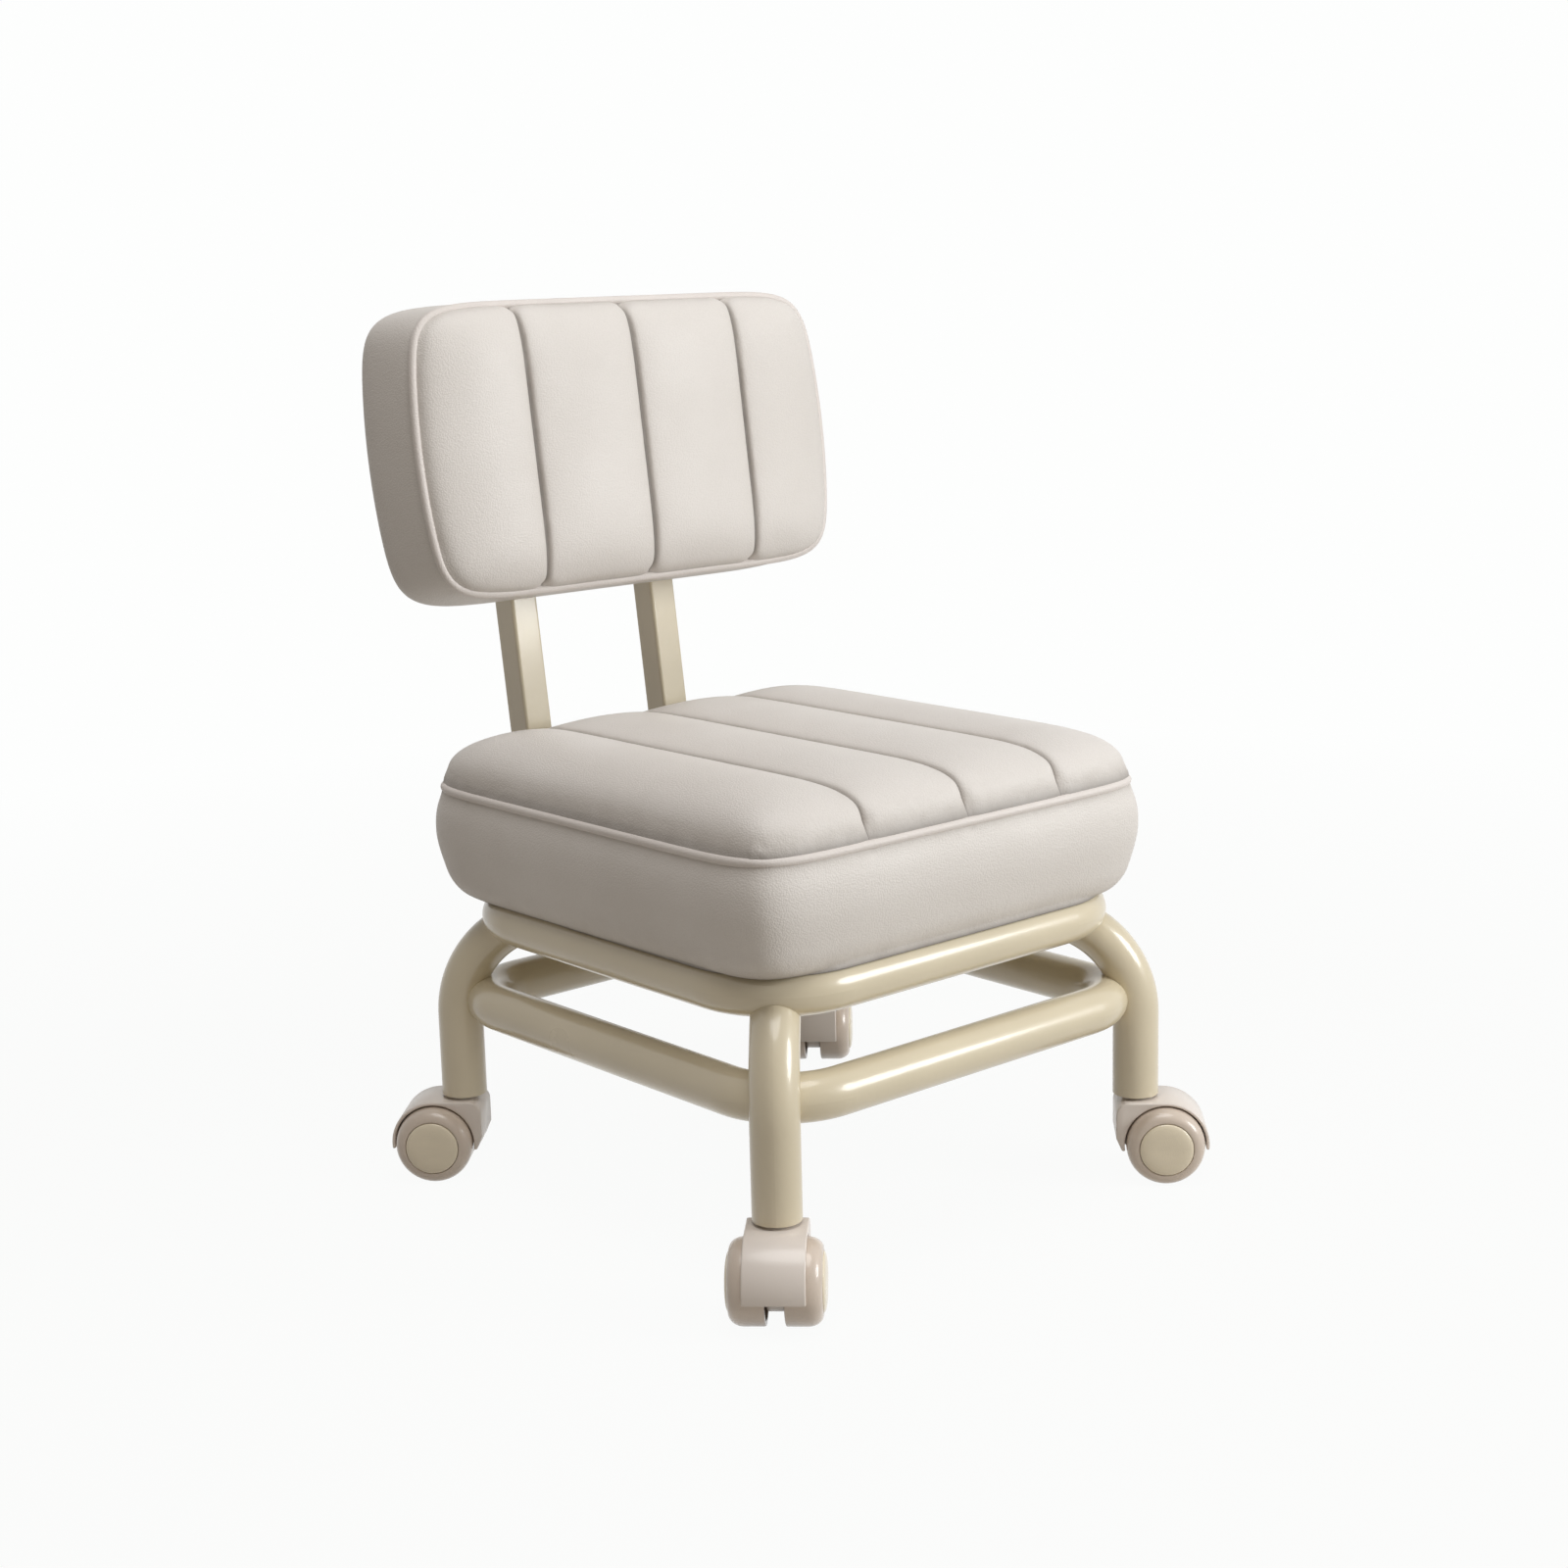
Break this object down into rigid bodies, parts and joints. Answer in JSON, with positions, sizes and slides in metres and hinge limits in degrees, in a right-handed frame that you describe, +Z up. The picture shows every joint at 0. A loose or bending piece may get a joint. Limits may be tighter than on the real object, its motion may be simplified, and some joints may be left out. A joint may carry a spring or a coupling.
{
  "type": "rolling stool with backrest",
  "caption": "Low rolling stool with a channelled seat, a small backrest on square posts, and a bent tube frame on swivelling casters.",
  "frame": {"origin": "on the floor, midway between the four legs", "axes": "+Z up; the sitter faces -Y, so the backrest is at +Y; +X is the sitter's left hand and the right side as seen from the front"},
  "size_m": [0.384, 0.4262, 0.5432],
  "materials": {
    "frame_paint": "gloss cream powder coat",
    "hide": "off-white leatherette with a fine grain",
    "piping_hide": "off-white leatherette cord",
    "caster_plastic": "satin pinkish cream",
    "cap_plastic": "satin cream",
    "nylon": "matte cream",
    "plywood": "bare plywood",
    "dust_cloth": "non-woven cloth",
    "foam": "upholstery foam",
    "steel": "zinc plated"
  },
  "bodies": {
    "frame": {"upper_ring": "frame_paint", "lower_ring": "frame_paint", "leg_front_left": "frame_paint", "socket_front_left": "nylon", "stem_front_left": "steel", "leg_front_right": "frame_paint", "socket_front_right": "nylon", "stem_front_right": "steel", "leg_rear_left": "frame_paint", "socket_rear_left": "nylon", "stem_rear_left": "steel", "leg_rear_right": "frame_paint", "socket_rear_right": "nylon", "stem_rear_right": "steel", "post_left": "frame_paint", "post_right": "frame_paint", "post_plug_left": "nylon", "post_plug_right": "nylon", "seat_rail_front": "frame_paint", "seat_rail_rear": "frame_paint", "seat_board": "plywood", "seat_dust_cloth": "dust_cloth", "seat_foam": "foam", "seat_cushion": "hide", "seat_piping": "piping_hide", "seat_screws": "steel", "seat_tee_nuts": "steel", "back_board": "plywood", "back_foam": "foam", "back_cushion": "hide", "back_piping": "piping_hide", "back_screws": "steel", "back_washers": "steel", "back_tee_nuts": "steel"},
    "caster_front_left": {"caster_body_front_left": "caster_plastic", "axle_front_left": "steel"},
    "wheel_front_left_a": {"wheel_front_left_a": "caster_plastic", "cap_front_left_a": "cap_plastic"},
    "wheel_front_left_b": {"wheel_front_left_b": "caster_plastic", "cap_front_left_b": "cap_plastic"},
    "caster_front_right": {"caster_body_front_right": "caster_plastic", "axle_front_right": "steel"},
    "wheel_front_right_a": {"wheel_front_right_a": "caster_plastic", "cap_front_right_a": "cap_plastic"},
    "wheel_front_right_b": {"wheel_front_right_b": "caster_plastic", "cap_front_right_b": "cap_plastic"},
    "caster_rear_left": {"caster_body_rear_left": "caster_plastic", "axle_rear_left": "steel"},
    "wheel_rear_left_a": {"wheel_rear_left_a": "caster_plastic", "cap_rear_left_a": "cap_plastic"},
    "wheel_rear_left_b": {"wheel_rear_left_b": "caster_plastic", "cap_rear_left_b": "cap_plastic"},
    "caster_rear_right": {"caster_body_rear_right": "caster_plastic", "axle_rear_right": "steel"},
    "wheel_rear_right_a": {"wheel_rear_right_a": "caster_plastic", "cap_rear_right_a": "cap_plastic"},
    "wheel_rear_right_b": {"wheel_rear_right_b": "caster_plastic", "cap_rear_right_b": "cap_plastic"}
  },
  "joints": [
    {"name": "swivel_front_left", "type": "hinge", "parent": "frame", "child": "caster_front_left", "pos_m": [-0.1475, -0.15, 0.051], "axis": [0, 0, 1], "continuous": true},
    {"name": "wheel_spin_front_left_a", "type": "hinge", "parent": "caster_front_left", "child": "wheel_front_left_a", "pos_m": [-0.15987, -0.16237, 0.024], "axis": [0.7071, -0.7071, 0], "continuous": true},
    {"name": "wheel_spin_front_left_b", "type": "hinge", "parent": "caster_front_left", "child": "wheel_front_left_b", "pos_m": [-0.15987, -0.16237, 0.024], "axis": [0.7071, -0.7071, 0], "continuous": true},
    {"name": "swivel_front_right", "type": "hinge", "parent": "frame", "child": "caster_front_right", "pos_m": [0.1475, -0.15, 0.051], "axis": [0, 0, 1], "continuous": true},
    {"name": "wheel_spin_front_right_a", "type": "hinge", "parent": "caster_front_right", "child": "wheel_front_right_a", "pos_m": [0.15987, -0.16237, 0.024], "axis": [0.7071, 0.7071, 0], "continuous": true},
    {"name": "wheel_spin_front_right_b", "type": "hinge", "parent": "caster_front_right", "child": "wheel_front_right_b", "pos_m": [0.15987, -0.16237, 0.024], "axis": [0.7071, 0.7071, 0], "continuous": true},
    {"name": "swivel_rear_left", "type": "hinge", "parent": "frame", "child": "caster_rear_left", "pos_m": [-0.1475, 0.15, 0.051], "axis": [0, 0, 1], "continuous": true},
    {"name": "wheel_spin_rear_left_a", "type": "hinge", "parent": "caster_rear_left", "child": "wheel_rear_left_a", "pos_m": [-0.15987, 0.16237, 0.024], "axis": [-0.7071, -0.7071, 0], "continuous": true},
    {"name": "wheel_spin_rear_left_b", "type": "hinge", "parent": "caster_rear_left", "child": "wheel_rear_left_b", "pos_m": [-0.15987, 0.16237, 0.024], "axis": [-0.7071, -0.7071, 0], "continuous": true},
    {"name": "swivel_rear_right", "type": "hinge", "parent": "frame", "child": "caster_rear_right", "pos_m": [0.1475, 0.15, 0.051], "axis": [0, 0, 1], "continuous": true},
    {"name": "wheel_spin_rear_right_a", "type": "hinge", "parent": "caster_rear_right", "child": "wheel_rear_right_a", "pos_m": [0.15987, 0.16237, 0.024], "axis": [-0.7071, 0.7071, 0], "continuous": true},
    {"name": "wheel_spin_rear_right_b", "type": "hinge", "parent": "caster_rear_right", "child": "wheel_rear_right_b", "pos_m": [0.15987, 0.16237, 0.024], "axis": [-0.7071, 0.7071, 0], "continuous": true}
  ]
}
